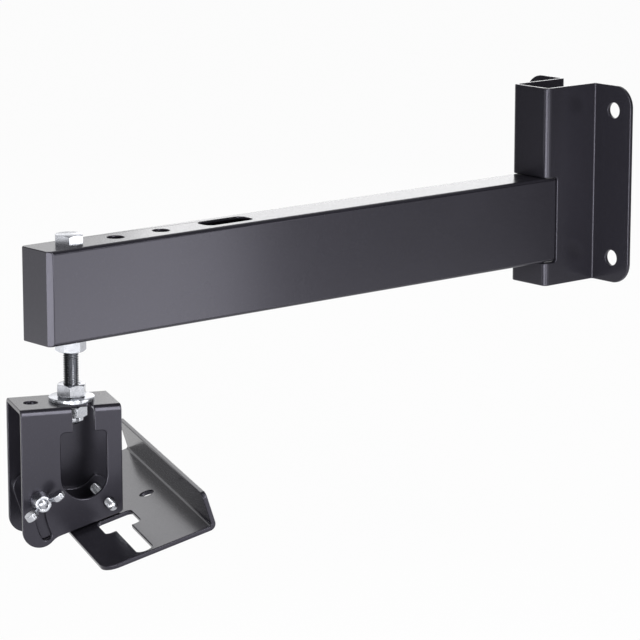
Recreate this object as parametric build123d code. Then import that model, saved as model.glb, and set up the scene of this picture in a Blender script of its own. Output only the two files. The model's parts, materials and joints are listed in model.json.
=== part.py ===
from build123d import *
import os
from math import cos, radians, sin, tan

# Wall bracket that holds a loudspeaker on a long arm, with swivel and tilt.
# Millimetres. The origin is the centre of the wall bracket's back face, the wall
# is the plane y = 0, +Z is up and the arm runs out along -Y.
# The pieces are drawn in the pose of the photograph.

os.makedirs("parts", exist_ok=True)

# Fits
HINGE_GAP = 0.08        # radial, between a pin and the hole that turns on it
THREAD_GAP = 0.05       # radial, between a bolt and the nut on it
HOLE_GAP = 0.5          # radial, in the drilled holes that only pass a bolt
SHEET_GAP = 0.2         # between two sheets that slide over each other
NOTCH_GAP = 0.3         # round the arm where it enters the wall bracket

# Sheet metal
SHEET = 3.0
BEND_IN = 1.0           # inside radius of every bend but the speaker plate's

# Wall bracket, one sheet folded to a hat section
WALL_H = 140.0
WALL_WEB_W = 35.0
WALL_DEPTH = 50.0
WALL_FLANGE_W = 104.0
WALL_CORNER_R = 15.0
WALL_HOLE_X = 71.0
WALL_HOLE_Z = 105.0
WALL_HOLE_D = 11.0
WALL_NOTCH_DEPTH = 11.0
WALL_NOTCH_R = 2.5

# Arm, a rectangular tube with a plate welded over its free end
ARM_W = 32.0
ARM_H = 60.0
ARM_Z = -23.5
ARM_WALL = 2.0
ARM_EDGE_R = 2.5        # outside corners of the tube's section
ARM_ROOT_R = 3.0        # rounds the arm's end where it enters the wall bracket
ARM_REACH = 475.0
CAP_T = 4.0
CAP_EDGE_R = 3.4        # upright corners of the end plate

# Places along the arm
SWIVEL_FROM_END = 26.6
SPARE_PITCH = 36.0
CABLE_SLOT_FROM_END = 151.0
CABLE_SLOT_L = 38.0
CABLE_SLOT_W = 15.0
CABLE_SLOT_R = 5.0

# M10 fasteners of the swivel
M10_D = 10.0
M10_AF = 17.0
M10_HEAD_H = 6.4
M10_NUT_H = 8.0
M10_WASHER_D = 29.0
M10_WASHER_T = 2.6
LOCK_NUT_H = 10.0
LOCK_COLLAR_H = 2.6
LOCK_COLLAR_D = 14.6
SWIVEL_DROP = 39.4      # from the arm's underside to the yoke's top face
BOLT_PAST_NUT = 2.0
SWIVEL_HEAD_ANGLE = 49.0    # how each hexagon happened to stop when tightened
ARM_NUT_ANGLE = 0.0
CLAMP_NUT_ANGLE = 19.0
LOCK_NUT_ANGLE = 15.0

# Yoke, an upside-down U. Its own frame has u across, v in depth and z up, with
# the origin where the swivel bolt's axis meets the top face.
SWIVEL_ANGLE = 67.5
YOKE_LEFT = 37.4
YOKE_RIGHT = 27.0
YOKE_DEPTH = 42.0
YOKE_CORNER_R = 2.5     # lower right corner, clear of the speaker plate at full tilt
YOKE_SPARE_U = -26.3
YOKE_SPARE_D = 9.0
KEY_U = 2.5
WINDOW_W = 29.5
WINDOW_TOP = 16.0
WINDOW_BOTTOM = 59.25
WINDOW_R = 3.0
KEY_SLOT_W = 14.0
KEY_SLOT_END = 9.5
KEY_SLOT_R = 3.0
LOBE_R = 11.0
LOBE_DROP = 77.5
LOBE_FILLET_R = 12.0

# Tilt: M6 pivot bolt, and a wing bolt that rides in an arc round it
PIVOT_U = 18.0
PIVOT_DROP = 62.6
TILT_REST_ANGLE = 17.4
TILT_TRAVEL_ANGLE = 30.0
ARC_R = 44.3
ARC_START_ANGLE = 174.0
ARC_SLOT_W = 6.6
M6_D = 6.0
M6_AF = 10.0
M6_HEAD_H = 4.0
M6_NUT_H = 5.0
M6_WASHER_D = 12.0
M6_WASHER_T = 1.6
BOLT_NEAR_END = 31.5    # how far the M6 bolts reach from the yoke's mid-plane

# Speaker plate. Its frame has s along the plate, v in depth and n square to the
# plate, with the origin on the pivot's axis.
PLATE_DROP = 10.9       # from the pivot's axis to the plate's top face
PLATE_LEFT = 28.7
PLATE_RIGHT = 45.5
PLATE_LENGTH = 202.0
PLATE_CORNER_R = 10.0
PLATE_BEND_IN = 1.5
FLANGE_RISE = 21.4
FLANGE_CORNER_R = 4.0
YOKE_OVER_PLATE = 1.9
T_HEAD_W = 23.2
T_HEAD_FAR = 44.5
T_HEAD_GAP = 0.5        # the hole starts this far inside the yoke's near side
T_HEAD_R = 3.5
T_STEM_W = 10.0
T_STEM_FROM_END = 3.4
PLATE_HOLE_S = 28.0
PLATE_HOLE_D = 9.0

# Tilt cradle, a U welded on the speaker plate between the yoke's two sides
EAR_WING_R = 9.2
EAR_PIVOT_R = 9.0
EAR_SKIRT = 8.6         # from the pivot's axis down to the ears' lower left corner
EAR_SKIRT_R = 6.0
FOOT_LEFT = 24.0
FOOT_RIGHT = 5.0
EAR_HOLLOW_GAP = 2.5    # the ears' hollow stays this far outside the window
EAR_HOLLOW_R = 2.0      # rounds the hollow's two ends

# Wing nut
WING_SPAN = 28.6
WING_TURN_ANGLE = 34.0        # of the wings, above the yoke's u direction
WING_HUB_D = 12.5
WING_HUB_TOP_D = 10.0
WING_HUB_H = 8.0
WING_TOTAL_H = 15.5
WING_T = 2.4
WING_TIP_R = 4.0        # the round pad at each wing's tip, for the thumb
WING_PAD_T = 4.0
WING_FOOT_H = 1.0       # the hub's straight foot, below its cone
WING_ROOT = 1.0         # how deep the blades are let into the hub

# Sizes that follow from the ones above
ARM_TOP = ARM_Z + ARM_H / 2
ARM_BOTTOM = ARM_Z - ARM_H / 2
SWIVEL_Y = SWIVEL_FROM_END - ARM_REACH
CABLE_SLOT_Y = CABLE_SLOT_FROM_END - ARM_REACH
ARM_ROOT_Y = WALL_NOTCH_DEPTH - WALL_DEPTH
YOKE_TOP = ARM_BOTTOM - SWIVEL_DROP
YOKE_INSIDE = YOKE_DEPTH / 2 - SHEET
EAR_OUTSIDE = YOKE_INSIDE - SHEET_GAP
EAR_INSIDE = EAR_OUTSIDE - SHEET
WING_BOLT_ANGLE = ARC_START_ANGLE - TILT_REST_ANGLE
WING_S = ARC_R * cos(radians(WING_BOLT_ANGLE))
WING_N = ARC_R * sin(radians(WING_BOLT_ANGLE))
WING_SEAT = YOKE_DEPTH / 2 + M6_WASHER_T
T_HEAD_NEAR = YOKE_INSIDE - T_HEAD_GAP
T_STEM_END = PLATE_LENGTH / 2 - T_STEM_FROM_END
CUT = 5.0               # how far a cutting tool stands past the face it cuts
BOLT_TIP = 0.125        # a bolt's point, as a share of its thread's diameter

YOKE_PLACE = Pos(0, SWIVEL_Y, YOKE_TOP) * Rot(0, 0, SWIVEL_ANGLE)
PLATE_PLACE = YOKE_PLACE * Pos(PIVOT_U, 0, -PIVOT_DROP) * Rot(0, -TILT_REST_ANGLE, 0)


def along_y(sketch, low, high):
    """Prism of a sketch drawn in x and z, from y = low to y = high."""
    return extrude(Plane.XZ.offset(-high) * sketch, amount=high - low)


def along_x(sketch, low, high):
    """Prism of a sketch drawn in y and z, from x = low to x = high."""
    return extrude(Plane.YZ.offset(low) * sketch, amount=high - low)


def folded(points, inside_radius, length):
    """Sheet folded along a mid-line, standing from z = 0 to z = length."""
    path = FilletPolyline(*points, radius=inside_radius + SHEET / 2)
    return extrude(trace(path, line_width=SHEET), amount=length)


def round_bar(diameter, low, high):
    """Cylinder on the z axis from z = low to z = high."""
    return Pos(0, 0, low) * extrude(Circle(diameter / 2), amount=high - low)


def cross_bar(diameter, low, high):
    """Cylinder on the y axis from y = low to y = high."""
    return along_y(Circle(diameter / 2), low, high)


def hexagon(flats, height, turned):
    """Hexagon bar standing on z = 0, its upper corners turned off where asked."""
    corner = flats / 2 / cos(radians(30))
    bar = extrude(RegularPolygon(corner, 6), amount=height)
    if not turned:
        return bar
    blank = extrude(Circle(corner), amount=height)
    rim = blank.edges().filter_by(GeomType.CIRCLE).sort_by(Axis.Z)[-1]
    drop = (corner - flats / 2) * tan(radians(30))
    return bar & chamfer(rim, drop, corner - flats / 2)


def nut(flats, height, thread, turned=False):
    """Hexagon nut with its flat seat on z = 0."""
    bore = round_bar(thread + 2 * THREAD_GAP, -CUT, height + CUT)
    return hexagon(flats, height, turned) - bore


def washer(outside, inside, thickness):
    """Flat washer standing on z = 0."""
    return extrude(Circle(outside / 2) - Circle(inside / 2), amount=thickness)


def bolt(flats, head_height, thread, length, turned=False):
    """Hexagon bolt: head above z = 0, shank down to z = -length."""
    shank = round_bar(thread, -length, 0)
    tip = shank.edges().filter_by(GeomType.CIRCLE).sort_by(Axis.Z)[0]
    return hexagon(flats, head_height, turned) + chamfer(tip, BOLT_TIP * thread)


# Wall bracket and arm

def notch():
    """Opening for the arm in the hat's front, drawn in y and z, with round inner corners."""
    height = ARM_H + 2 * NOTCH_GAP
    depth = WALL_NOTCH_DEPTH + CUT
    opening = Pos(ARM_ROOT_Y - depth / 2, ARM_Z) * Rectangle(depth, height)
    return fillet(opening.vertices().sort_by(Axis.X)[-2:], WALL_NOTCH_R)


def make_wall_bracket():
    side = (WALL_WEB_W - SHEET) / 2
    front = SHEET / 2 - WALL_DEPTH
    back = -SHEET / 2
    edge = WALL_FLANGE_W / 2
    points = [(-edge, back), (-side, back), (-side, front),
              (side, front), (side, back), (edge, back)]
    hat = Pos(0, 0, -WALL_H / 2) * folded(points, BEND_IN, WALL_H)
    outline = RectangleRounded(WALL_FLANGE_W, WALL_H, WALL_CORNER_R)
    web = Rectangle(WALL_WEB_W + 4 * SHEET, WALL_H)
    hat = hat & along_y(outline + web, -WALL_DEPTH - CUT, CUT)
    holes = GridLocations(WALL_HOLE_X, WALL_HOLE_Z, 2, 2) * Circle(WALL_HOLE_D / 2)
    hat = hat - along_y(Sketch() + holes, -SHEET - CUT, CUT)
    return hat - along_x(notch(), -WALL_WEB_W, WALL_WEB_W)


def root_cutter():
    """What rounds the arm's root, clear of the notch's corners, drawn in y and z."""
    length = ARM_ROOT_R + CUT
    blank = Pos(ARM_ROOT_Y + CUT - length / 2, ARM_Z) * Rectangle(length, ARM_H + 2 * CUT)
    kept = Pos(ARM_ROOT_Y - ARM_H / 2, ARM_Z) * RectangleRounded(
        ARM_H, ARM_H, ARM_ROOT_R)
    return blank - kept


def make_arm_tube():
    outside = RectangleRounded(ARM_W, ARM_H, ARM_EDGE_R)
    inside = Rectangle(ARM_W - 2 * ARM_WALL, ARM_H - 2 * ARM_WALL)
    profile = Pos(0, ARM_Z) * (outside - inside)
    length = ARM_REACH - CAP_T + ARM_ROOT_Y
    tube = along_y(profile, ARM_ROOT_Y - length, ARM_ROOT_Y)
    tube = tube - along_x(root_cutter(), -ARM_W, ARM_W)
    drilled = round_bar(M10_D + 2 * HOLE_GAP, ARM_BOTTOM - CUT, ARM_TOP + CUT)
    tube = tube - Pos(0, SWIVEL_Y, 0) * round_bar(
        M10_D + 2 * HINGE_GAP, ARM_BOTTOM - CUT, ARM_TOP + CUT)
    for step in range(1, 3):
        tube = tube - Pos(0, SWIVEL_Y + step * SPARE_PITCH, 0) * drilled
    slot = RectangleRounded(CABLE_SLOT_W, CABLE_SLOT_L, CABLE_SLOT_R)
    return tube - Pos(0, CABLE_SLOT_Y, ARM_Z) * extrude(slot, amount=ARM_H)


def make_arm_end_plate():
    outline = Pos(0, ARM_Z) * RectangleRounded(ARM_W, ARM_H, ARM_EDGE_R)
    plate = along_y(outline, -ARM_REACH, CAP_T - ARM_REACH)
    plan = Pos(0, CAP_T / 2 - ARM_REACH) * Rectangle(ARM_W, CAP_T)
    plan = fillet(plan.vertices().sort_by(Axis.Y)[:2], CAP_EDGE_R)
    return plate & Pos(0, 0, ARM_BOTTOM) * extrude(plan, amount=ARM_H)


# Swivel fasteners, each standing on the bolt's axis

def make_swivel_bolt():
    length = (ARM_TOP - YOKE_TOP) + SHEET + LOCK_NUT_H + BOLT_PAST_NUT
    return Pos(0, SWIVEL_Y, ARM_TOP) * Rot(0, 0, SWIVEL_HEAD_ANGLE) * bolt(
        M10_AF, M10_HEAD_H, M10_D, length, turned=True)


def make_arm_nut():
    return Pos(0, SWIVEL_Y, ARM_BOTTOM) * Rot(180, 0, ARM_NUT_ANGLE) * nut(
        M10_AF, M10_NUT_H, M10_D, turned=True)


def make_clamp_nut():
    seat = YOKE_TOP + M10_WASHER_T
    return Pos(0, SWIVEL_Y, seat) * Rot(0, 0, CLAMP_NUT_ANGLE) * nut(
        M10_AF, M10_NUT_H, M10_D, turned=True)


def make_clamp_washer():
    return Pos(0, SWIVEL_Y, YOKE_TOP) * washer(
        M10_WASHER_D, M10_D + 2 * THREAD_GAP, M10_WASHER_T)


def make_lock_nut():
    """Lock nut under the yoke's top, its round collar down."""
    body = nut(M10_AF, LOCK_NUT_H - LOCK_COLLAR_H, M10_D)
    collar = Circle(LOCK_COLLAR_D / 2) - Circle(M10_D / 2 + THREAD_GAP)
    ring = Pos(0, 0, LOCK_NUT_H - LOCK_COLLAR_H) * extrude(collar, amount=LOCK_COLLAR_H)
    seat = YOKE_TOP - SHEET
    return Pos(0, SWIVEL_Y, seat) * Rot(180, 0, LOCK_NUT_ANGLE) * (body + ring)


# Yoke

def plate_line_z(u):
    """Height, in the yoke's frame, of the sides' sloping lower edge."""
    slope = radians(TILT_REST_ANGLE)
    gap = PLATE_DROP - YOKE_OVER_PLATE
    return -PIVOT_DROP - gap / cos(slope) + (u - PIVOT_U) * tan(slope)


def yoke_side_outline():
    """Side of the yoke, with a lobe at the lower left that carries the arc slot."""
    lobe_u = LOBE_R - YOKE_LEFT
    inside_lobe = lobe_u + LOBE_R * sin(radians(TILT_REST_ANGLE))
    points = [(-YOKE_LEFT, CUT), (YOKE_RIGHT, CUT),
              (YOKE_RIGHT, plate_line_z(YOKE_RIGHT)),
              (inside_lobe, plate_line_z(inside_lobe)),
              (lobe_u, -LOBE_DROP), (-YOKE_LEFT, -LOBE_DROP)]
    outline = make_face(Polyline(*points, close=True))
    outline = outline + Pos(lobe_u, -LOBE_DROP) * Circle(LOBE_R)
    below = (lobe_u + LOBE_R, -LOBE_DROP - LOBE_R, 0)
    inner = outline.vertices().sort_by_distance(below)[0]
    outline = fillet(inner, LOBE_FILLET_R)
    corner = (YOKE_RIGHT, plate_line_z(YOKE_RIGHT), 0)
    return fillet(outline.vertices().sort_by_distance(corner)[0], YOKE_CORNER_R)


def arc_slot():
    """Slot round the pivot, in the yoke's frame."""
    arc = CenterArc((PIVOT_U, -PIVOT_DROP), ARC_R, ARC_START_ANGLE, TILT_TRAVEL_ANGLE)
    return SlotArc(Wire([arc.edge()]), ARC_SLOT_W)


def window():
    """Opening in the yoke's near side, round at its lower end."""
    radius = WINDOW_W / 2
    straight = WINDOW_BOTTOM - radius - WINDOW_TOP
    upper = Pos(0, -WINDOW_TOP - straight / 2) * RectangleRounded(
        WINDOW_W, straight, WINDOW_R)
    lower_half = Pos(0, -WINDOW_TOP - straight * 3 / 4) * Rectangle(
        WINDOW_W, straight / 2)
    bottom = Pos(0, radius - WINDOW_BOTTOM) * Circle(radius)
    return Pos(KEY_U, 0) * (upper + lower_half + bottom)


def key_slot():
    """Slot that runs from the window up over the bend and into the top."""
    length = YOKE_DEPTH / 2 - KEY_SLOT_END + CUT
    plan = Pos(KEY_U, -YOKE_DEPTH / 2 - CUT + length / 2) * Rectangle(
        KEY_SLOT_W, length)
    plan = fillet(plan.vertices().sort_by(Axis.Y)[-2:], KEY_SLOT_R)
    low = -WINDOW_TOP - SHEET
    return Pos(0, 0, low) * extrude(plan, amount=CUT - low)


def make_yoke():
    side = (YOKE_DEPTH - SHEET) / 2
    reach = LOBE_DROP + LOBE_R + CUT
    points = [(-side, -reach), (-side, -SHEET / 2), (side, -SHEET / 2), (side, -reach)]
    path = FilletPolyline(*points, radius=BEND_IN + SHEET / 2)
    sheet = along_x(trace(path, line_width=SHEET), -YOKE_LEFT, YOKE_RIGHT)
    far = YOKE_DEPTH / 2 + CUT
    sheet = sheet & along_y(yoke_side_outline(), -far, far)
    sheet = sheet - along_y(arc_slot(), -far, far)
    sheet = sheet - Pos(PIVOT_U, 0, -PIVOT_DROP) * cross_bar(
        M6_D + 2 * HINGE_GAP, -far, far)
    sheet = sheet - along_y(window(), -far, -YOKE_INSIDE + BEND_IN)
    sheet = sheet - key_slot()
    sheet = sheet - round_bar(M10_D + 2 * HINGE_GAP, -SHEET - CUT, CUT)
    spare = Pos(YOKE_SPARE_U, 0, 0) * round_bar(YOKE_SPARE_D, -SHEET - CUT, CUT)
    return YOKE_PLACE * (sheet - spare)


# Speaker plate and the cradle welded on it

def t_hole():
    """T-shaped hole at the plate's near end: wide head, long narrow stem."""
    length = T_HEAD_FAR - T_HEAD_NEAR
    head = Pos(0, -(T_HEAD_FAR + T_HEAD_NEAR) / 2) * RectangleRounded(
        T_HEAD_W, length, T_HEAD_R)
    stem_start = T_HEAD_FAR - length / 2
    stem_stop = T_STEM_END - T_STEM_W / 2
    stem = Pos(0, -(stem_start + stem_stop) / 2) * Rectangle(
        T_STEM_W, stem_stop - stem_start)
    end = Pos(0, -stem_stop) * Circle(T_STEM_W / 2)
    return head + stem + end


def make_speaker_plate():
    low = -PLATE_DROP - SHEET / 2
    wall = PLATE_RIGHT - SHEET / 2
    top = FLANGE_RISE - PLATE_DROP
    half = PLATE_LENGTH / 2
    path = FilletPolyline((-PLATE_LEFT, low), (wall, low), (wall, top),
                          radius=PLATE_BEND_IN + SHEET / 2)
    angle = along_y(trace(path, line_width=SHEET), -half, half)
    width = PLATE_LEFT + PLATE_RIGHT
    plan = Pos((PLATE_RIGHT - PLATE_LEFT) / 2, 0) * Rectangle(width, PLATE_LENGTH)
    plan = fillet(plan.vertices().sort_by(Axis.X)[:2], PLATE_CORNER_R)
    plan = plan - t_hole() - Pos(PLATE_HOLE_S, 0) * Circle(PLATE_HOLE_D / 2)
    angle = angle & Pos(0, 0, low - CUT) * extrude(plan, amount=top - low + 2 * CUT)
    height = top - low + CUT
    front = Pos(0, top - height / 2) * Rectangle(PLATE_LENGTH, height)
    front = fillet(front.vertices().sort_by(Axis.Y)[-2:], FLANGE_CORNER_R)
    return PLATE_PLACE * (angle & along_x(front, -PLATE_LEFT - CUT, PLATE_RIGHT + CUT))


def window_centre_on_plate():
    """Centre of the window's round end, in the speaker plate's frame at rest."""
    across = KEY_U - PIVOT_U
    up = PIVOT_DROP - WINDOW_BOTTOM + WINDOW_W / 2
    slope = radians(TILT_REST_ANGLE)
    return Vector(across * cos(slope) + up * sin(slope),
                  up * cos(slope) - across * sin(slope))


def ear_outline():
    """Side of the cradle: round at both bolts, hollow between them, flat foot below."""
    foot = -PLATE_DROP
    left = WING_S - EAR_WING_R
    wing = Pos(WING_S, WING_N) * Circle(EAR_WING_R)
    pivot = Circle(EAR_PIVOT_R)
    base = make_face(Polyline((left, -EAR_SKIRT), (-FOOT_LEFT, foot), (FOOT_RIGHT, foot),
                              (0, 0), close=True))
    outline = make_hull((wing + pivot + base).edges())
    corner = outline.vertices().sort_by_distance((left, -EAR_SKIRT, 0))[0]
    outline = fillet(corner, EAR_SKIRT_R)
    centre = window_centre_on_plate()
    radius = WINDOW_W / 2 + EAR_HOLLOW_GAP
    outline = outline - Pos(centre.X, centre.Y) * Circle(radius)
    ends = outline.vertices().filter_by(
        lambda place: abs((Vector(place) - centre).length - radius) < EAR_HOLLOW_GAP / 100)
    return fillet(ends, EAR_HOLLOW_R)


def make_tilt_cradle():
    side = EAR_OUTSIDE - SHEET / 2
    low = -PLATE_DROP + SHEET / 2
    top = WING_N + EAR_WING_R + CUT
    points = [(-side, top), (-side, low), (side, low), (side, top)]
    path = FilletPolyline(*points, radius=BEND_IN + SHEET / 2)
    left = WING_S - EAR_WING_R - CUT
    far = YOKE_DEPTH / 2
    channel = along_x(trace(path, line_width=SHEET), left, EAR_PIVOT_R + CUT)
    channel = channel & along_y(ear_outline(), -far, far)
    spare = -FOOT_LEFT - left
    web_left = Pos(left + spare / 2, low) * Rectangle(spare, 2 * SHEET)
    channel = channel - along_y(web_left, -EAR_INSIDE, EAR_INSIDE)
    hole = cross_bar(M6_D + 2 * HINGE_GAP, -far, far)
    return PLATE_PLACE * (channel - hole - Pos(WING_S, 0, WING_N) * hole)


# Tilt fasteners, each drawn on the y axis of the speaker plate's frame

def on_far_side(piece, distance):
    """Turn a piece drawn on z so that its +z runs to the far side."""
    return Pos(0, distance, 0) * Rot(-90, 0, 0) * piece


def on_near_side(piece, distance):
    """Turn a piece drawn on z so that its +z runs to the near side."""
    return Pos(0, -distance, 0) * Rot(90, 0, 0) * piece


def make_pivot_bolt():
    seat = YOKE_DEPTH / 2
    piece = bolt(M6_AF, M6_HEAD_H, M6_D, seat + BOLT_NEAR_END)
    return PLATE_PLACE * on_far_side(piece, seat)


def make_pivot_nut():
    return PLATE_PLACE * on_far_side(nut(M6_AF, M6_NUT_H, M6_D), -EAR_INSIDE)


def make_wing_bolt():
    piece = bolt(M6_AF, M6_HEAD_H, M6_D, WING_SEAT + BOLT_NEAR_END)
    return PLATE_PLACE * Pos(WING_S, 0, WING_N) * on_far_side(piece, WING_SEAT)


def m6_washer():
    return washer(M6_WASHER_D, M6_D + 2 * THREAD_GAP, M6_WASHER_T)


def make_far_washer():
    piece = on_far_side(m6_washer(), YOKE_DEPTH / 2)
    return PLATE_PLACE * Pos(WING_S, 0, WING_N) * piece


def make_near_washer():
    piece = on_near_side(m6_washer(), YOKE_DEPTH / 2)
    return PLATE_PLACE * Pos(WING_S, 0, WING_N) * piece


def wing():
    """One wing of the nut: a thin blade that ends in a thicker round pad."""
    tip_x = WING_SPAN / 2 - WING_TIP_R
    tip_y = WING_TOTAL_H - WING_TIP_R
    reach = WING_TIP_R * sin(radians(45))
    blade = make_face(Polyline((WING_HUB_D / 2 - WING_ROOT, WING_FOOT_H),
                               (tip_x + reach, tip_y - reach),
                               (tip_x - reach, tip_y + reach),
                               (WING_HUB_TOP_D / 2 - WING_ROOT, WING_HUB_H), close=True))
    pad = Pos(tip_x, tip_y) * Circle(WING_TIP_R)
    blade = along_y(blade, -WING_T / 2, WING_T / 2)
    return blade + along_y(pad, -WING_PAD_T / 2, WING_PAD_T / 2)


def make_wing_nut():
    hub = make_face(Polyline((0, 0), (WING_HUB_D / 2, 0), (WING_HUB_D / 2, WING_FOOT_H),
                             (WING_HUB_TOP_D / 2, WING_HUB_H), (0, WING_HUB_H),
                             close=True))
    body = revolve(Plane.XZ * hub, Axis.Z) + wing() + Rot(0, 0, 180) * wing()
    body = body - round_bar(M6_D + 2 * THREAD_GAP, -CUT, WING_TOTAL_H + CUT)
    turn = TILT_REST_ANGLE - WING_TURN_ANGLE
    piece = Rot(0, turn, 0) * on_near_side(body, WING_SEAT)
    return PLATE_PLACE * Pos(WING_S, 0, WING_N) * piece


PIECES = {
    "wall_bracket": make_wall_bracket,
    "arm_tube": make_arm_tube,
    "arm_end_plate": make_arm_end_plate,
    "swivel_bolt": make_swivel_bolt,
    "arm_nut": make_arm_nut,
    "clamp_nut": make_clamp_nut,
    "clamp_washer": make_clamp_washer,
    "lock_nut": make_lock_nut,
    "yoke": make_yoke,
    "speaker_plate": make_speaker_plate,
    "tilt_cradle": make_tilt_cradle,
    "pivot_bolt": make_pivot_bolt,
    "pivot_nut": make_pivot_nut,
    "wing_bolt": make_wing_bolt,
    "far_washer": make_far_washer,
    "near_washer": make_near_washer,
    "wing_nut": make_wing_nut,
}

for name, make in PIECES.items():
    export_step(make(), f"parts/{name}.step")
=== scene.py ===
"""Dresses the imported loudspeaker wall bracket: powder coat, zinc-plated fasteners, studio."""
import json
import math

import bmesh
import bpy
from bpy.props import FloatProperty, FloatVectorProperty, IntProperty, PointerProperty
from mathutils import Matrix, Vector
from mathutils.bvhtree import BVHTree

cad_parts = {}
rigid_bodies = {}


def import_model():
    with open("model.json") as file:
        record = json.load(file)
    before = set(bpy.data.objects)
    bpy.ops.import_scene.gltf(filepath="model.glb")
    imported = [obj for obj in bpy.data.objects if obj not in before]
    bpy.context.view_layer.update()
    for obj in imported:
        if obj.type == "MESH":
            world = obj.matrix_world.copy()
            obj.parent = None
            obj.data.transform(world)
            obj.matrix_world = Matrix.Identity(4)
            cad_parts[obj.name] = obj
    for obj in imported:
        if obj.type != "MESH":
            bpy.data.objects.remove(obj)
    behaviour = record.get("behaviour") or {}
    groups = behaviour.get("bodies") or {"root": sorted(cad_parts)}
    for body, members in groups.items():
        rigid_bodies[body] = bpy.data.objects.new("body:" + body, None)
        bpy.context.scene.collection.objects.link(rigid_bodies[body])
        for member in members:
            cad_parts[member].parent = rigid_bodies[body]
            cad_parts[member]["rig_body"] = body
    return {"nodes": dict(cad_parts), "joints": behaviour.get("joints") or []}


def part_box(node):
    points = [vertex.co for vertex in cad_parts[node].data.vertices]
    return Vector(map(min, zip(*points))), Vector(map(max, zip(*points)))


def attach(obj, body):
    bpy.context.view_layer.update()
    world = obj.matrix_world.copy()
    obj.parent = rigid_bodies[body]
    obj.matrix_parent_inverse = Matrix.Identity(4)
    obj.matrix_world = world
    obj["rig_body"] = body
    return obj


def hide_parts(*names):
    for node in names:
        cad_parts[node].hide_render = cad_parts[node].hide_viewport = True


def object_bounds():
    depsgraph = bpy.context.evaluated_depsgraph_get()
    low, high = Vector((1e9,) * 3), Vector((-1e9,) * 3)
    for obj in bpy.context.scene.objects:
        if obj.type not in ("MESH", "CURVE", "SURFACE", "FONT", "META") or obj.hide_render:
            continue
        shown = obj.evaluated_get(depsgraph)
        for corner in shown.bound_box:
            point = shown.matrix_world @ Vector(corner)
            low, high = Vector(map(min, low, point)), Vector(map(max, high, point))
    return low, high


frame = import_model()
CAD_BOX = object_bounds()

bl_info = {
    "name": "Speaker wall bracket dresser",
    "version": (1, 0, 0),
    "blender": (4, 5, 0),
    "location": "3D View > Sidebar > Speaker bracket",
    "description": "Finishes the sheet metal and fasteners of a loudspeaker wall bracket",
    "category": "Object",
}

MM = 0.001
JOINTS = {joint["name"]: joint for joint in frame["joints"]}
UP = (0, 0, 1)

# Fastener sizes that the solids have too
M10_RADIUS = 5 * MM
M10_HEAD = 6.4 * MM
M10_WASHER_RADIUS = 14.5 * MM
M10_WASHER_BORE = 5.3 * MM
LOCK_COLLAR = 2.6 * MM
LOCK_COLLAR_SHARE = 0.43    # the collar's radius, as a share of the nut's width
M6_RADIUS = 3 * MM
M6_HEAD = 4 * MM
M6_WASHER_RADIUS = 6 * MM
M6_WASHER_BORE = 3.2 * MM

# How each hexagon happened to stop when tightened, in degrees about its axis
SWIVEL_HEAD_TURN = 26
ARM_NUT_TURN = 0
CLAMP_NUT_TURN = 19
LOCK_NUT_TURN = 45
M6_TURN = 12.6

THREAD_DEPTH = 0.6          # depth of a thread, in pitches

# A dark oil film on the threads, with painted shade deeper in their roots, from clean to black
SWIVEL_OIL_AND_SHADE = 1.0
M6_OIL_AND_SHADE = 0.15
OIL_AND_SHADE_DEPTH = 0.85            # how much of the zinc's colour the blackest oil and painted root shade take
ROOT_SHADE = "root_shade"   # the attribute that holds it

GROUND_TO = 0.72            # how far from a front corner's centre the grinder goes, in radii

# How the meshes are drawn
HEX_POINTS = 72
WASHER_POINTS = 96
EDGE_SEGMENTS = 3
BEVEL_REACH = 0.6           # furthest that a sound bevel goes from the skin, in widths
BEVEL_ANGLE = 50            # sharper edges than this are rounded
SMOOTH_ANGLE = 40           # gentler edges than this are shaded smooth
BOLT_SMOOTH_ANGLE = 50
WING_SMOOTH_ANGLE = 80


# Colour and node helpers

def linear(hex_code):
    """sRGB hex such as 2B2B2E, as linear red, green, blue and alpha."""
    values = [int(hex_code[i:i + 2], 16) / 255 for i in (0, 2, 4)]
    return [v / 12.92 if v <= 0.04045 else ((v + 0.055) / 1.055) ** 2.4
            for v in values] + [1.0]


def add(tree, kind, inputs=None, **settings):
    """Add one node, set its own settings, then fill or link its inputs."""
    made = tree.nodes.new(kind)
    for name, value in settings.items():
        setattr(made, name, value)
    for key, value in (inputs or {}).items():
        if isinstance(value, bpy.types.NodeSocket):
            tree.links.new(value, made.inputs[key])
        else:
            made.inputs[key].default_value = value
    return made


def math_node(tree, operation, *values, clamp=False):
    """The result of one Math node."""
    return add(tree, "ShaderNodeMath", dict(enumerate(values)),
               operation=operation, use_clamp=clamp).outputs[0]


# Sizes and colours a user would change

class CoatSettings(bpy.types.PropertyGroup):
    colour: FloatVectorProperty(
        name="Coat colour", description="Colour of the powder coat",
        subtype="COLOR", size=4, min=0, max=1, default=linear("1D1C21"))
    roughness: FloatProperty(
        name="Coat roughness", description="Roughness of the baked satin coat",
        default=0.23, min=0, max=1, subtype="FACTOR")
    peel: FloatProperty(
        name="Orange peel",
        description="Width of one dimple of the coat's orange peel",
        default=1.6 * MM, unit="LENGTH")
    grain: FloatProperty(
        name="Coat grain",
        description="Width of the coat's fine grain, drawn coarse enough to show",
        default=0.45 * MM, unit="LENGTH")
    weld_round: FloatProperty(
        name="Weld round",
        description="Radius of the arm's front corners, where the weld is ground",
        default=3.4 * MM, unit="LENGTH")
    edge: FloatProperty(
        name="Edge round", description="Radius that the coat gives a cut sheet edge",
        default=0.7 * MM, unit="LENGTH")


class ZincSettings(bpy.types.PropertyGroup):
    colour: FloatVectorProperty(
        name="Zinc colour", description="Colour of the bright zinc plating",
        subtype="COLOR", size=4, min=0, max=1, default=linear("BBBDC3"))
    roughness: FloatProperty(
        name="Zinc roughness", description="Roughness of the bright zinc plating",
        default=0.22, min=0, max=1, subtype="FACTOR")
    mottle: FloatProperty(
        name="Mottle",
        description="Width of one patch of the plating's uneven sheen",
        default=3.5 * MM, unit="LENGTH")


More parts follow.
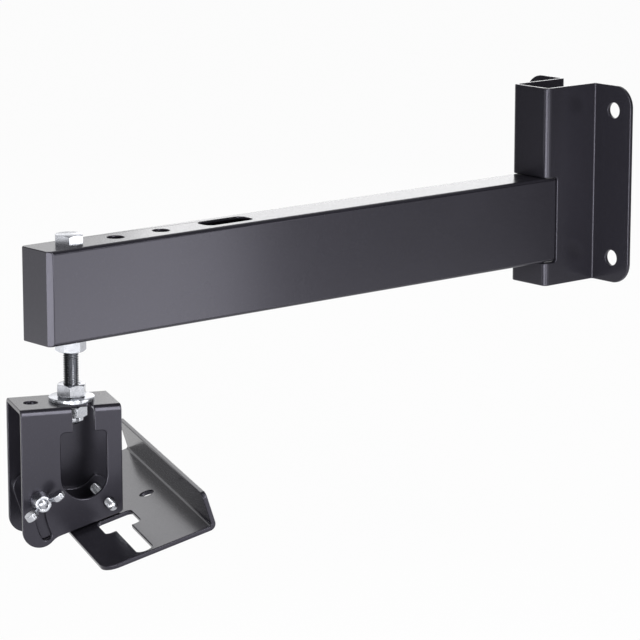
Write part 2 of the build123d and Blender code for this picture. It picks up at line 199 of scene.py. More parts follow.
class FastenerSettings(bpy.types.PropertyGroup):
    m10_flats: FloatProperty(
        name="M10 flats", description="Width of the M10 hexagons across their flats",
        default=17 * MM, unit="LENGTH")
    m6_flats: FloatProperty(
        name="M6 flats", description="Width of the M6 hexagons across their flats",
        default=10 * MM, unit="LENGTH")
    m10_pitch: FloatProperty(
        name="M10 pitch", description="Rise of one turn of the M10 thread",
        default=1.5 * MM, unit="LENGTH")
    m6_pitch: FloatProperty(
        name="M6 pitch", description="Rise of one turn of the M6 thread",
        default=1.0 * MM, unit="LENGTH")
    round_points: IntProperty(
        name="Points round", description="Points round one turn of a thread",
        default=40, min=12)
    turn_points: IntProperty(
        name="Points a turn", description="Rows of points in one pitch of a thread",
        default=8, min=4)


class StudioSettings(bpy.types.PropertyGroup):
    floor_drop: FloatProperty(
        name="Floor drop", description="From the lowest piece down to the floor",
        default=0.16, unit="LENGTH")
    floor_width: FloatProperty(
        name="Floor width", description="Width of the white paper floor",
        default=2.8, unit="LENGTH")
    floor_back: FloatProperty(
        name="Floor back", description="From the bracket to the paper's far end",
        default=9.0, unit="LENGTH")
    floor_front: FloatProperty(
        name="Floor front", description="From the bracket to the paper's front edge",
        default=0.8, unit="LENGTH")
    surround: FloatProperty(
        name="Surround", description="Strength of the plain surround as a light",
        default=0.5, min=0)
    dark_side: FloatProperty(
        name="Dark side", description="How bright metal sees the black screens at both sides",
        default=0.06, min=0, max=1)
    room: FloatProperty(
        name="Room", description="How bright metal sees the room behind the camera",
        default=0.55, min=0, max=1)
    lamps: FloatProperty(
        name="Lamps", description="Brightness of every lamp, as a share of the usual",
        default=1.0, min=0)


SETTINGS = {"coat": CoatSettings, "zinc": ZincSettings,
            "fasteners": FastenerSettings, "studio": StudioSettings}


def settings(name):
    return getattr(bpy.context.scene, "bracket_" + name)


# Materials

def surface(name):
    """A new material with a Principled shader and its object coordinates."""
    material = bpy.data.materials.new(name)
    material.use_nodes = True
    tree = material.node_tree
    tree.nodes.clear()
    where = add(tree, "ShaderNodeTexCoord").outputs["Object"]
    shader = add(tree, "ShaderNodeBsdfPrincipled")
    add(tree, "ShaderNodeOutputMaterial", {"Surface": shader.outputs["BSDF"]})
    return material, tree, where, shader


def noise(tree, where, width, detail=2.0):
    """Noise whose patches are about width metres across."""
    return add(tree, "ShaderNodeTexNoise",
               {"Vector": where, "Scale": 1 / width, "Detail": detail}).outputs["Fac"]


def powder_coated_steel():
    """Mild steel sheet, sprayed with black polyester powder and baked to a satin skin.

    The eye sees a dark grey with a soft wide highlight, a faint orange peel and a fine
    grain, and a coat that draws thin and smooth round every cut edge.
    """
    coat = settings("coat")
    material, tree, where, shader = surface("powder_coated_steel")
    peel = noise(tree, where, coat.peel, 1.0)
    grain = noise(tree, where, coat.grain, 3.0)
    drift = noise(tree, where, 60 * MM)
    tone = add(tree, "ShaderNodeMapRange",
               {"Value": drift, "From Min": 0.3, "From Max": 0.7, "To Min": 0.92, "To Max": 1.08})
    tint = add(tree, "ShaderNodeVectorMath", {0: list(coat.colour)[:3], "Scale": tone.outputs[0]},
               operation="SCALE")
    tree.links.new(tint.outputs[0], shader.inputs["Base Color"])
    spread = add(tree, "ShaderNodeMapRange",
                 {"Value": grain, "From Min": 0.3, "From Max": 0.7,
                  "To Min": coat.roughness - 0.04, "To Max": coat.roughness + 0.05})
    tree.links.new(spread.outputs[0], shader.inputs["Roughness"])
    wide = add(tree, "ShaderNodeBump",
               {"Strength": 0.08, "Distance": 0.05 * MM, "Height": peel})
    fine = add(tree, "ShaderNodeBump",
               {"Strength": 0.025, "Distance": 0.03 * MM, "Height": grain,
                "Normal": wide.outputs[0]})
    tree.links.new(fine.outputs[0], shader.inputs["Normal"])
    shader.inputs["Metallic"].default_value = 0.0
    shader.inputs["IOR"].default_value = 1.45
    shader.inputs["Specular Tint"].default_value = linear("EFEDFF")
    return material


def zinc_plated_steel():
    """Cold-headed steel, electroplated with bright zinc.

    The eye sees a pale, slightly blue metal that is bright but not a mirror, with
    patches where the plating is a little duller and fine marks from the tumbler.
    Threads hold a dark film of oil, and painted shade makes them darkest in their roots.
    """
    zinc = settings("zinc")
    material, tree, where, shader = surface("zinc_plated_steel")
    mottle = noise(tree, where, zinc.mottle, 4.0)
    marks = noise(tree, where, 0.9 * MM, 1.0)
    tone = add(tree, "ShaderNodeMapRange",
               {"Value": mottle, "From Min": 0.3, "From Max": 0.7, "To Min": 0.9, "To Max": 1.0})
    # Painted shade: the root_shade attribute darkens the threads, evenly as an oil film and most
    # in their roots
    root = add(tree, "ShaderNodeAttribute", attribute_name=ROOT_SHADE).outputs["Fac"]
    oil_and_shade = math_node(tree, "MULTIPLY_ADD", root, -OIL_AND_SHADE_DEPTH, 1.0)
    scale = math_node(tree, "MULTIPLY", tone.outputs[0], oil_and_shade)
    tint = add(tree, "ShaderNodeVectorMath", {0: list(zinc.colour)[:3], "Scale": scale},
               operation="SCALE")
    tree.links.new(tint.outputs[0], shader.inputs["Base Color"])
    spread = add(tree, "ShaderNodeMapRange",
                 {"Value": mottle, "From Min": 0.3, "From Max": 0.7,
                  "To Min": zinc.roughness + 0.08, "To Max": zinc.roughness - 0.03})
    tree.links.new(spread.outputs[0], shader.inputs["Roughness"])
    bump = add(tree, "ShaderNodeBump",
               {"Strength": 0.08, "Distance": 0.01 * MM, "Height": marks})
    tree.links.new(bump.outputs[0], shader.inputs["Normal"])
    shader.inputs["Metallic"].default_value = 1.0
    return material


FINISHES = {"powder_coat": powder_coated_steel, "zinc_plate": zinc_plated_steel}


def finish_of(slot):
    """The material of a record slot, made once."""
    maker = FINISHES[slot]
    return bpy.data.materials.get(maker.__name__) or maker()


# Pieces

def body_of_node(node):
    return frame["nodes"][node]["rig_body"]


def new_object(name, mesh):
    made = bpy.data.objects.new(name, mesh)
    bpy.context.scene.collection.objects.link(made)
    return made


def hand_over(piece, slot, *nodes):
    """Give a finished piece its material and its body, and hide the nodes it stands for."""
    piece.data.materials.clear()
    piece.data.materials.append(finish_of(slot))
    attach(piece, body_of_node(nodes[0]))
    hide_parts(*nodes)
    return piece


def applied(piece):
    """Turn a piece's modifiers into plain mesh."""
    graph = bpy.context.evaluated_depsgraph_get()
    mesh = bpy.data.meshes.new_from_object(piece.evaluated_get(graph))
    piece.modifiers.clear()
    piece.data = mesh
    return piece


def merged_copy(node):
    """A node's mesh with its loose triangles merged and its flat faces joined."""
    shape = bmesh.new()
    shape.from_mesh(frame["nodes"][node].data)
    bmesh.ops.remove_doubles(shape, verts=shape.verts, dist=0.002 * MM)
    bmesh.ops.dissolve_limit(shape, angle_limit=math.radians(0.5), verts=shape.verts,
                             edges=shape.edges)
    return shape


def skin_of(mesh):
    """A mesh's faces, ready to be asked for the nearest place on them."""
    return BVHTree.FromPolygons([v.co for v in mesh.vertices],
                                [face.vertices for face in mesh.polygons])


def pull_in(mesh, skin, reach):
    """Bring back the points that a bevel threw off the skin at a shallow corner."""
    for vertex in mesh.vertices:
        place, _, _, distance = skin.find_nearest(vertex.co)
        if distance > reach:
            vertex.co = place


def soften(piece, width):
    """Round a piece's sharp edges with a bevel, and keep its flat faces flat to the light."""
    skin = skin_of(piece.data)
    for polygon in piece.data.polygons:
        polygon.use_smooth = True
    bevel = piece.modifiers.new("edge", "BEVEL")
    bevel.width = width
    bevel.segments = EDGE_SEGMENTS
    bevel.limit_method = "ANGLE"
    bevel.angle_limit = math.radians(BEVEL_ANGLE)
    bevel.use_clamp_overlap = False
    pull_in(applied(piece).data, skin, BEVEL_REACH * width)
    piece.data.set_sharp_from_angle(angle=math.radians(SMOOTH_ANGLE))
    flats = piece.modifiers.new("flats", "WEIGHTED_NORMAL")
    flats.mode = "FACE_AREA"
    flats.weight = 100
    flats.keep_sharp = True
    return applied(piece)


def plain_copy(node, name):
    """A new object with a node's merged shape."""
    shape = merged_copy(node)
    mesh = bpy.data.meshes.new(name)
    shape.to_mesh(mesh)
    shape.free()
    return new_object(name, mesh)


def sheet_piece(node, name):
    """One piece of coated sheet: the node's shape with the coat's soft edges."""
    piece = soften(plain_copy(node, name), settings("coat").edge)
    return hand_over(piece, "powder_coat", node)


def ground_corner(shape, side):
    """Cut one front corner of the arm flat, as the grinder leaves the weld there."""
    low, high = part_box("arm_end_plate")
    outwards = Vector((side, -1, 0)).normalized()
    inset = settings("coat").weld_round
    centre = Vector((side * (max(abs(low[0]), abs(high[0])) - inset), low[1] + inset, 0))
    bmesh.ops.bisect_plane(shape, geom=shape.verts[:] + shape.edges[:] + shape.faces[:],
                           plane_co=centre + outwards * inset * GROUND_TO, plane_no=outwards,
                           clear_outer=True)
    rim = [edge for edge in shape.edges if edge.is_boundary]
    bmesh.ops.holes_fill(shape, edges=rim)


def welded_arm(name):
    """The tube with its end plate welded on and ground flush, under one coat."""
    piece = plain_copy("arm_tube", name)
    cap = plain_copy("arm_end_plate", "arm_end_plate_copy")
    weld = piece.modifiers.new("weld", "BOOLEAN")
    weld.operation = "UNION"
    weld.solver = "EXACT"
    weld.object = cap
    applied(piece)
    bpy.data.objects.remove(cap)
    shape = bmesh.new()
    shape.from_mesh(piece.data)
    bmesh.ops.remove_doubles(shape, verts=shape.verts, dist=0.02 * MM)
    bmesh.ops.dissolve_limit(shape, angle_limit=math.radians(1.5), verts=shape.verts,
                             edges=shape.edges)
    for side in (-1, 1):
        ground_corner(shape, side)
    shape.to_mesh(piece.data)
    shape.free()
    soften(piece, settings("coat").edge)
    return hand_over(piece, "powder_coat", "arm_tube", "arm_end_plate")


def axis_frame(point, axis, turn=0.0):
    """Matrix that takes +z to an axis through a point, turned about it in degrees."""
    z = Vector(axis).normalized()
    side = Vector((0, 0, 1)) if abs(z.z) < 0.9 else Vector((1, 0, 0))
    x = side.cross(z).normalized()
    y = z.cross(x)
    basis = Matrix((x, y, z)).transposed().to_4x4()
    return (Matrix.Translation(Vector(point)) @ basis
            @ Matrix.Rotation(math.radians(turn), 4, "Z"))


def span_along(node, point, axis):
    """Lowest and highest place of a node along an axis through a point."""
    direction = Vector(axis).normalized()
    places = [(v.co - Vector(point)).dot(direction) for v in frame["nodes"][node].data.vertices]
    return min(places), max(places)


def hexagon_radius(flats, angle):
    """Distance from the axis to a hexagon's side in the direction of an angle."""
    return flats / 2 / math.cos((angle + math.pi / 6) % (math.pi / 3) - math.pi / 6)


def ring_loft(shape, rings, points, closed=False):
    """Skin a list of rings, each a function of angle that gives radius and height."""
    rows = []
    for ring in rings:
        row = []
        for i in range(points):
            angle = 2 * math.pi * i / points
            radius, height = ring(angle)
            place = (radius * math.cos(angle), radius * math.sin(angle), height)
            row.append(shape.verts.new(place))
        rows.append(row)
    pairs = list(zip(rows, rows[1:] + rows[:1])) if closed else list(zip(rows, rows[1:]))
    for low, high in pairs:
        for i in range(points):
            j = (i + 1) % points
            shape.faces.new((low[i], low[j], high[j], high[i]))
    return rows


def hexagon_rings(flats, low, high, chamfer_low):
    """Rings of a hexagon's skin from its low face's rim to its high face's rim.

    The corners are turned off at 30 degrees, from a circle just inside the flats.
    """
    slope = math.tan(math.radians(30))
    reach = flats / 2 * 0.97

    def at(part, is_high):
        def ring(angle):
            side = hexagon_radius(flats, angle)
            drop = (side - reach) * slope
            if is_high:
                return (reach + (side - reach) * part, high - drop * part)
            return (reach + (side - reach) * part, low + drop * part)
        return ring

    def flat(height):
        return lambda angle: (hexagon_radius(flats, angle), height)

    lower = [at(0, False), at(0.5, False), at(1, False)] if chamfer_low else [flat(low)]
    return lower + [at(1, True), at(0.5, True), at(0, True)]


def hexagon_mesh(name, flats, low, high, bore, chamfer_low=True):
    """A nut, or a head where bore is None, with its corners turned off."""
    shape = bmesh.new()
    rings = hexagon_rings(flats, low, high, chamfer_low)
    if bore is None:
        rows = ring_loft(shape, rings, HEX_POINTS)
        shape.faces.new(list(reversed(rows[0])))
        shape.faces.new(rows[-1])
    else:
        mouth = 0.8 * MM
        rings += [lambda a: (bore + mouth, high), lambda a: (bore, high - mouth),
                  lambda a: (bore, low + mouth), lambda a: (bore + mouth, low)]
        ring_loft(shape, rings, HEX_POINTS, closed=True)
    bmesh.ops.recalc_face_normals(shape, faces=shape.faces)
    mesh = bpy.data.meshes.new(name)
    shape.to_mesh(mesh)
    shape.free()
    return mesh


def washer_mesh(name, outside, inside, low, high):
    """A stamped washer with a rolled upper rim."""
    shape = bmesh.new()
    roll = 0.35 * MM
    rings = []
    for step in range(4):
        angle = math.radians(30 * step)
        rings.append((outside - roll + roll * math.cos(angle),
                      high - roll + roll * math.sin(angle)))
    rings += [(inside + 0.2 * MM, high), (inside, high - 0.2 * MM), (inside, low),
              (outside - 0.15 * MM, low), (outside, low + 0.15 * MM)]
    ring_loft(shape, [lambda a, r=r: r for r in rings], WASHER_POINTS, closed=True)
    bmesh.ops.recalc_face_normals(shape, faces=shape.faces)
    mesh = bpy.data.meshes.new(name)
    shape.to_mesh(mesh)
    shape.free()
    return mesh


# Threads, by Geometry Nodes

def thread_tree():
    """Geometry Nodes tree of one threaded rod, from z = 0 down to z = -Length."""
    tree = bpy.data.node_groups.get("thread")
    if tree:
        return tree
    tree = bpy.data.node_groups.new("thread", "GeometryNodeTree")
    face = tree.interface
    for name, kind in (("Length", "NodeSocketFloat"), ("Radius", "NodeSocketFloat"),
                       ("Depth", "NodeSocketFloat"), ("Pitch", "NodeSocketFloat"),
                       ("Points round", "NodeSocketInt"), ("Points a turn", "NodeSocketInt"),
                       ("Oil and shade", "NodeSocketFloat"), ("Finish", "NodeSocketMaterial")):
        face.new_socket(name, in_out="INPUT", socket_type=kind)
    face.new_socket("Geometry", in_out="OUTPUT", socket_type="NodeSocketGeometry")
    given = add(tree, "NodeGroupInput").outputs
    turns = math_node(tree, "DIVIDE", given["Length"], given["Pitch"])
    rows = math_node(tree, "CEIL", math_node(tree, "MULTIPLY", turns, given["Points a turn"]))
    rows_all = math_node(tree, "ADD", rows, 3.0)
    columns = math_node(tree, "ADD", given["Points round"], 1.0)
    grid = add(tree, "GeometryNodeMeshGrid",
               {"Size X": 1.0, "Size Y": 1.0, "Vertices X": columns, "Vertices Y": rows_all})
    place = add(tree, "ShaderNodeSeparateXYZ",
                {0: add(tree, "GeometryNodeInputPosition").outputs[0]}).outputs
    around = math_node(tree, "ADD", place[0], 0.5)
    along = math_node(tree, "MULTIPLY_ADD", math_node(tree, "ADD", place[1], 0.5),
                      math_node(tree, "ADD", rows, 2.0), -1.0)
    share = math_node(tree, "DIVIDE", along, rows, clamp=True)
    depth = math_node(tree, "MULTIPLY", share, given["Length"])
    helix = math_node(tree, "FRACT", math_node(
        tree, "ADD", math_node(tree, "DIVIDE", depth, given["Pitch"]), around))
    ramp = math_node(tree, "ABSOLUTE", math_node(tree, "MULTIPLY_ADD", helix, 2.0, -1.0))
    # 0 along the flat root of the thread, 1 along its flat crest
    crest = add(tree, "ShaderNodeMapRange",
                {"Value": ramp, "From Min": 0.12, "From Max": 0.85, "To Min": 0.0, "To Max": 1.0})
    groove = math_node(tree, "MULTIPLY", given["Depth"],
                       math_node(tree, "SUBTRACT", 1.0, crest.outputs[0]))
    cut = math_node(tree, "SUBTRACT", given["Radius"], groove)
    from_end = math_node(tree, "MINIMUM", depth,
                         math_node(tree, "SUBTRACT", given["Length"], depth))
    # Both ends are turned down to a 45 degree cone, from a little below the roots
    core = math_node(tree, "SUBTRACT", given["Radius"],
                     math_node(tree, "MULTIPLY", given["Depth"], 1.3))
    tip = math_node(tree, "ADD", core, from_end)
    radius = math_node(tree, "MINIMUM", cut, tip)
    inside = math_node(tree, "MULTIPLY", math_node(tree, "GREATER_THAN", along, -0.5),
                       math_node(tree, "LESS_THAN", along, math_node(tree, "ADD", rows, 0.5)))
    radius = math_node(tree, "MULTIPLY", radius, inside)
    angle = math_node(tree, "MULTIPLY", around, 2 * math.pi)
    point = add(tree, "ShaderNodeCombineXYZ",
                {0: math_node(tree, "MULTIPLY", radius, math_node(tree, "COSINE", angle)),
                 1: math_node(tree, "MULTIPLY", radius, math_node(tree, "SINE", angle)),
                 2: math_node(tree, "MULTIPLY", depth, -1.0)})
    bent = add(tree, "GeometryNodeSetPosition",
               {"Geometry": grid.outputs["Mesh"], "Position": point.outputs[0]})
    welded = add(tree, "GeometryNodeMergeByDistance",
                 {"Geometry": bent.outputs[0], "Distance": 0.001 * MM})
    # An even oil film over the thread, with painted shade that doubles the darkening in the
    # roots; it fades out over the last pitch at each end
    clean_tip = math_node(tree, "DIVIDE", from_end, given["Pitch"], clamp=True)
    oil_and_root_shade = math_node(tree, "MULTIPLY", math_node(tree, "MULTIPLY", given["Oil and shade"], clean_tip),
                     math_node(tree, "MULTIPLY_ADD", crest.outputs[0], -0.5, 1.0))
    shaded = add(tree, "GeometryNodeStoreNamedAttribute",
                 {"Geometry": welded.outputs[0], "Name": ROOT_SHADE, "Value": oil_and_root_shade},
                 data_type="FLOAT", domain="POINT")
    smooth = add(tree, "GeometryNodeSetShadeSmooth", {0: shaded.outputs[0]})
    real = add(tree, "GeometryNodeRealizeInstances", {0: smooth.outputs[0]})
    coated = add(tree, "GeometryNodeSetMaterial",
                 {"Geometry": real.outputs[0], "Material": given["Finish"]})
    add(tree, "NodeGroupOutput", {0: coated.outputs[0]})
    return tree


def set_input(modifier, name, value):
    """Set one of a Geometry Nodes modifier's inputs by its socket's identifier."""
    for item in modifier.node_group.interface.items_tree:
        if item.item_type == "SOCKET" and item.in_out == "INPUT" and item.name == name:
            modifier[item.identifier] = value
            return
    raise KeyError(name)


def thread_mesh(name, length, radius, pitch, oil_and_shade):
    """Mesh of a threaded rod, from the Geometry Nodes tree."""
    sizes = settings("fasteners")
    carrier = new_object(name, bpy.data.meshes.new(name))
    modifier = carrier.modifiers.new("thread", "NODES")
    modifier.node_group = thread_tree()
    for key, value in (("Length", length), ("Radius", radius), ("Depth", pitch * THREAD_DEPTH),
                       ("Pitch", pitch), ("Points round", sizes.round_points),
                       ("Points a turn", sizes.turn_points), ("Oil and shade", oil_and_shade),
                       ("Finish", finish_of("zinc_plate"))):
        set_input(modifier, key, value)
    mesh = applied(carrier).data
    bpy.data.objects.remove(carrier)
    shape = bmesh.new()
    shape.from_mesh(mesh)
    bmesh.ops.recalc_face_normals(shape, faces=shape.faces)
    shape.to_mesh(mesh)
    shape.free()
    return mesh


def joined(name, parts):
    """One mesh from a list of (mesh, matrix)."""
    shape = bmesh.new()
    for mesh, place in parts:
        mesh.transform(place)
        shape.from_mesh(mesh)
    made = bpy.data.meshes.new(name)
    shape.to_mesh(made)
    shape.free()
    return made


def shade(mesh, angle=SMOOTH_ANGLE):
    for polygon in mesh.polygons:
        polygon.use_smooth = True
    mesh.set_sharp_from_angle(angle=math.radians(angle))


def bolt_piece(node, name, point, axis, head, flats, radius, pitch, turn, oil_and_shade):
    """A hexagon bolt: head above, thread below, along an axis from tip to head."""
    low, high = span_along(node, point, axis)
    place = axis_frame(point, axis, turn)
    seat = high - head
    rod = thread_mesh(name, seat - low, radius, pitch, oil_and_shade)
    rod_place = place @ Matrix.Translation((0, 0, seat))
    cap = hexagon_mesh(name, flats, seat, high, None, chamfer_low=False)
    mesh = joined(name, [(rod, rod_place), (cap, place)])
    shade(mesh, BOLT_SMOOTH_ANGLE)
    return hand_over(new_object(name, mesh), "zinc_plate", node)


def nut_piece(node, name, point, axis, flats, bore, turn, collar=0.0):
    """A hexagon nut on an axis, with the round collar of a lock nut if it has one."""
    low, high = span_along(node, point, axis)
    place = axis_frame(point, axis, turn)
    parts = [(hexagon_mesh(name, flats, low + collar, high, bore), place)]
    if collar:
        parts.append((washer_mesh(name, flats * LOCK_COLLAR_SHARE, bore, -low - collar, -low),
                      place @ Matrix.Rotation(math.pi, 4, "X")))
    mesh = joined(name, parts)
    shade(mesh)
    return hand_over(new_object(name, mesh), "zinc_plate", node)


def washer_piece(node, name, point, axis, outside, inside):
    low, high = span_along(node, point, axis)
    mesh = washer_mesh(name, outside, inside, low, high)
    mesh.transform(axis_frame(point, axis))
    shade(mesh)
    return hand_over(new_object(name, mesh), "zinc_plate", node)


# Operators, one for each group of like pieces and one for the stage

class BRACKET_OT_sheets(bpy.types.Operator):
    """Coat the folded sheets and the arm, with soft edges"""
    bl_idname = "bracket.sheets"
    bl_label = "Coat the sheet metal"

    def execute(self, context):
        welded_arm("coated_arm")
        for node in ("wall_bracket", "yoke", "speaker_plate", "tilt_cradle"):
            sheet_piece(node, "coated_" + node)
        return {"FINISHED"}


class BRACKET_OT_swivel_fasteners(bpy.types.Operator):
    """Make the M10 bolt, nuts and washer of the swivel"""
    bl_idname = "bracket.swivel_fasteners"
    bl_label = "Make the swivel fasteners"

    def execute(self, context):
        sizes = settings("fasteners")
        point = JOINTS["swivel"]["pos_m"]
        bolt_piece("swivel_bolt", "m10_swivel_bolt", point, UP, M10_HEAD, sizes.m10_flats,
                   M10_RADIUS, sizes.m10_pitch, SWIVEL_HEAD_TURN, SWIVEL_OIL_AND_SHADE)
        for node, turn, collar in (("arm_nut", ARM_NUT_TURN, 0.0),
                                   ("clamp_nut", CLAMP_NUT_TURN, 0.0),
                                   ("lock_nut", LOCK_NUT_TURN, LOCK_COLLAR)):
            nut_piece(node, "m10_" + node, point, UP, sizes.m10_flats, M10_RADIUS, turn, collar)
        washer_piece("clamp_washer", "m10_washer", point, UP,
                     M10_WASHER_RADIUS, M10_WASHER_BORE)
        return {"FINISHED"}


class BRACKET_OT_tilt_fasteners(bpy.types.Operator):
    """Make the M6 pivot bolt, its nut, and the wing bolt with its washers"""
    bl_idname = "bracket.tilt_fasteners"
    bl_label = "Make the tilt fasteners"

    def execute(self, context):
        sizes = settings("fasteners")
        axis = -Vector(JOINTS["tilt"]["axis"])
        pivot = JOINTS["tilt"]["pos_m"]
        wing = JOINTS["wing_nut_turn"]["pos_m"]
        bolt_piece("pivot_bolt", "m6_pivot_bolt", pivot, axis, M6_HEAD, sizes.m6_flats,
                   M6_RADIUS, sizes.m6_pitch, M6_TURN, M6_OIL_AND_SHADE)
        nut_piece("pivot_nut", "m6_pivot_nut", pivot, axis, sizes.m6_flats, M6_RADIUS, M6_TURN)
        bolt_piece("wing_bolt", "m6_wing_bolt", wing, axis, M6_HEAD, sizes.m6_flats,
                   M6_RADIUS, sizes.m6_pitch, M6_TURN, M6_OIL_AND_SHADE)
        for node, outwards in (("far_washer", axis), ("near_washer", -axis)):
            washer_piece(node, "m6_" + node, wing, outwards, M6_WASHER_RADIUS, M6_WASHER_BORE)
        return {"FINISHED"}


class BRACKET_OT_wing_nut(bpy.types.Operator):
    """Make the forged wing nut, its edges rounded by remeshing"""
    bl_idname = "bracket.wing_nut"
    bl_label = "Make the wing nut"

    def execute(self, context):
        shape = merged_copy("wing_nut")
        mesh = bpy.data.meshes.new("m6_wing_nut")
        shape.to_mesh(mesh)
        shape.free()
        piece = new_object("m6_wing_nut", mesh)
        remesh = piece.modifiers.new("forged", "REMESH")
        remesh.mode = "VOXEL"
        remesh.voxel_size = 0.22 * MM
        ease = piece.modifiers.new("rounded", "SMOOTH")
        ease.factor = 0.5
        ease.iterations = 8
        applied(piece)
        shade(piece.data, WING_SMOOTH_ANGLE)
        hand_over(piece, "zinc_plate", "wing_nut")
        return {"FINISHED"}


def area_lamp(name, place, target, width, height, brightness):
    """A soft lamp whose face is brightness times as bright as white paper."""
    lamp = bpy.data.lights.new(name, "AREA")
    lamp.shape = "RECTANGLE"
    lamp.size = width
    lamp.size_y = height
    lamp.energy = brightness * math.pi * width * height * settings("studio").lamps
    made = bpy.data.objects.new(name, lamp)
    made.location = place
    made.rotation_euler = (Vector(target) - Vector(place)).to_track_quat("-Z", "Y").to_euler()
    made.visible_camera = False
    bpy.context.scene.collection.objects.link(made)
    return made


# Name, place, where it points, width, height and brightness of each soft lamp. Each stands
# where a few of the bracket's faces or bends mirror it to the camera.
LAMPS = (
    ("overhead", (0.3, -0.9, 1.7), (0, -0.25, 0), 1.2, 0.9, 0.8),
    ("behind_tops", (-1.46, 1.45, 0.42), (0, -0.25, 0), 1.2, 0.5, 1.95),
    ("behind_plate", (-1.6, 0.5, 0.6), (0, -0.45, -0.15), 0.6, 0.5, 0.8),
    ("beside_free_end", (0.405, -0.172, -0.14), (0.016, -0.5, -0.03), 0.26, 0.3, 3.4),
    ("beside_arm", (0.47, 0.13, -0.14), (0.016, -0.2, -0.03), 0.35, 0.3, 0.5),
    ("before_corners", (0.95, -1.65, -0.32), (0, -0.25, -0.03), 1.3, 0.35, 10.5),
    ("left_of_end_face", (-0.37, -0.79, -0.13), (0, -0.475, -0.03), 0.25, 0.3, 1.2),
    ("above_yoke_bend", (1.292, -0.586, 0.65), (0, -0.45, -0.1), 0.35, 1.5, 12.0),
    ("front_left_low", (-0.25, -1.6, -0.3), (0, -0.45, -0.1), 0.5, 0.5, 1.2),
    ("right_of_yoke", (1.21, -0.62, -0.38), (0, -0.45, -0.13), 0.5, 0.5, 1.8),
)


def backdrop_rays(tree):
    """1 for camera, glossy and transmission rays, which see the white backdrop."""
    path = add(tree, "ShaderNodeLightPath").outputs
    seen = math_node(tree, "MAXIMUM", path["Is Camera Ray"], path["Is Glossy Ray"])
    return math_node(tree, "MAXIMUM", seen, path["Is Transmission Ray"])


# Share of plain white in the floor, as the camera and metal see it. The rest takes shadow.
PAPER_GLOW = 0.95

# The photograph's camera, fitted to the bracket's own edges
CAMERA_AZIMUTH = 49.41
CAMERA_ELEVATION = 11.96
CAMERA_DISTANCE = 2.08813
CAMERA_AIM = (0.0, -0.2, 0.0)
AHEAD = Vector((math.sin(math.radians(CAMERA_AZIMUTH)),
                -math.cos(math.radians(CAMERA_AZIMUTH)), 0))    # level, towards the camera
CAMERA_SHIFT_RIGHT = -0.0328
CAMERA_SHIFT_UP = -0.0744
FOCAL_PIXELS = 3107.59
FRAME_PIXELS = 640
SENSOR = 36.0


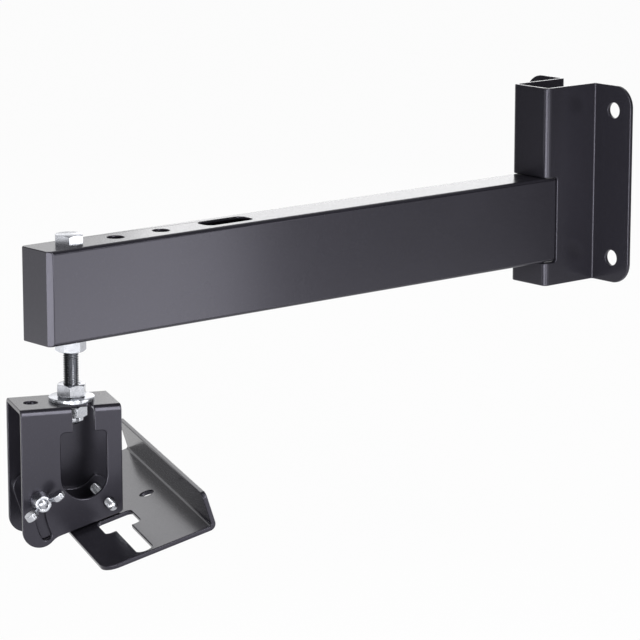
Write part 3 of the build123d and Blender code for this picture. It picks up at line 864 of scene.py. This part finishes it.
class BRACKET_OT_stage(bpy.types.Operator):
    """Make the floor, the lamps, the surround and the camera"""
    bl_idname = "bracket.stage"
    bl_label = "Set the stage"

    def execute(self, context):
        studio = settings("studio")
        scene = context.scene
        scene.view_settings.view_transform = "Standard"
        self.make_floor(studio)
        self.make_surround(scene, studio)
        for lamp in LAMPS:
            area_lamp(*lamp)
        self.make_camera(scene)
        return {"FINISHED"}

    def make_floor(self, studio):
        half = studio.floor_width / 2
        height = CAD_BOX[0].z - studio.floor_drop
        across = Vector((-AHEAD.y, AHEAD.x, 0))
        middle = Vector((CAMERA_AIM[0], CAMERA_AIM[1], height))
        front, back = middle + AHEAD * studio.floor_front, middle - AHEAD * studio.floor_back
        mesh = bpy.data.meshes.new("studio_floor")
        mesh.from_pydata([front - across * half, front + across * half,
                          back + across * half, back - across * half], [], [(0, 1, 2, 3)])
        floor = new_object("studio_floor", mesh)
        material = bpy.data.materials.new("white_paper_floor")
        material.use_nodes = True
        tree = material.node_tree
        tree.nodes.clear()
        paper = add(tree, "ShaderNodeBsdfDiffuse", {"Color": linear("E8E8E8")})
        white = add(tree, "ShaderNodeEmission", {"Color": linear("FFFFFF"), "Strength": 1.0})
        share = math_node(tree, "MULTIPLY", backdrop_rays(tree), PAPER_GLOW)
        mixed = add(tree, "ShaderNodeMixShader",
                    {0: share, 1: paper.outputs[0], 2: white.outputs[0]})
        add(tree, "ShaderNodeOutputMaterial", {"Surface": mixed.outputs[0]})
        mesh.materials.append(material)

    def make_surround(self, scene, studio):
        """White for the camera. Metal sees it white behind the bracket, black screens at
        both sides and a dim room behind the camera. It lights the bracket evenly."""
        world = bpy.data.worlds.new("white_surround")
        world.use_nodes = True
        tree = world.node_tree
        tree.nodes.clear()
        way = add(tree, "ShaderNodeTexCoord").outputs["Generated"]
        ahead = add(tree, "ShaderNodeVectorMath", {0: way, 1: AHEAD},
                    operation="DOT_PRODUCT").outputs["Value"]
        paper = add(tree, "ShaderNodeMapRange",
                    {"Value": ahead, "From Min": -0.25, "From Max": -0.7,
                     "To Min": studio.dark_side, "To Max": 1.0}).outputs[0]
        room = add(tree, "ShaderNodeMapRange",
                   {"Value": ahead, "From Min": 0.2, "From Max": 0.5,
                    "To Min": 0.0, "To Max": studio.room}).outputs[0]
        paper = math_node(tree, "MAXIMUM", paper, room)
        path = add(tree, "ShaderNodeLightPath").outputs
        seen = math_node(tree, "MAXIMUM", paper, path["Is Camera Ray"])
        strength = add(tree, "ShaderNodeMix",
                       {"Factor": backdrop_rays(tree), "A": studio.surround, "B": seen})
        light = add(tree, "ShaderNodeBackground",
                    {"Color": linear("FFFFFF"), "Strength": strength.outputs[0]})
        add(tree, "ShaderNodeOutputWorld", {"Surface": light.outputs[0]})
        scene.world = world

    def make_camera(self, scene):
        elevation = math.radians(CAMERA_ELEVATION)
        back = AHEAD * math.cos(elevation) + Vector(UP) * math.sin(elevation)
        right = Vector((-AHEAD.y, AHEAD.x, 0))
        up = back.cross(right)
        lens = bpy.data.cameras.new("photograph")
        lens.sensor_width = SENSOR
        lens.lens = FOCAL_PIXELS / FRAME_PIXELS * SENSOR
        lens.clip_start, lens.clip_end = 0.05, 100
        camera = bpy.data.objects.new("photograph", lens)
        basis = Matrix((right, up, back)).transposed().to_4x4()
        place = (Vector(CAMERA_AIM) + right * CAMERA_SHIFT_RIGHT + up * CAMERA_SHIFT_UP
                 + back * CAMERA_DISTANCE)
        camera.matrix_world = Matrix.Translation(place) @ basis
        scene.collection.objects.link(camera)
        scene.camera = camera


OPERATORS = (BRACKET_OT_sheets, BRACKET_OT_swivel_fasteners, BRACKET_OT_tilt_fasteners,
             BRACKET_OT_wing_nut, BRACKET_OT_stage)


class BRACKET_PT_panel(bpy.types.Panel):
    """Lists the bracket's settings and operators"""
    bl_idname = "BRACKET_PT_panel"
    bl_label = "Speaker bracket"
    bl_space_type = "VIEW_3D"
    bl_region_type = "UI"
    bl_category = "Speaker bracket"

    def draw(self, context):
        for name in SETTINGS:
            box = self.layout.box()
            box.label(text=name.capitalize())
            group = settings(name)
            for key in group.__annotations__:
                box.prop(group, key)
        for operator in OPERATORS:
            self.layout.operator(operator.bl_idname)


CLASSES = (*SETTINGS.values(), *OPERATORS, BRACKET_PT_panel)


def register():
    for item in CLASSES:
        bpy.utils.register_class(item)
    for name, group in SETTINGS.items():
        setattr(bpy.types.Scene, "bracket_" + name, PointerProperty(type=group))


def unregister():
    for name in SETTINGS:
        delattr(bpy.types.Scene, "bracket_" + name)
    for item in reversed(CLASSES):
        bpy.utils.unregister_class(item)


def main():
    """Register the add-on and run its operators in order."""
    register()
    bpy.ops.bracket.sheets()
    bpy.ops.bracket.swivel_fasteners()
    bpy.ops.bracket.tilt_fasteners()
    bpy.ops.bracket.wing_nut()
    bpy.ops.bracket.stage()


if __name__ == "__main__":
    main()
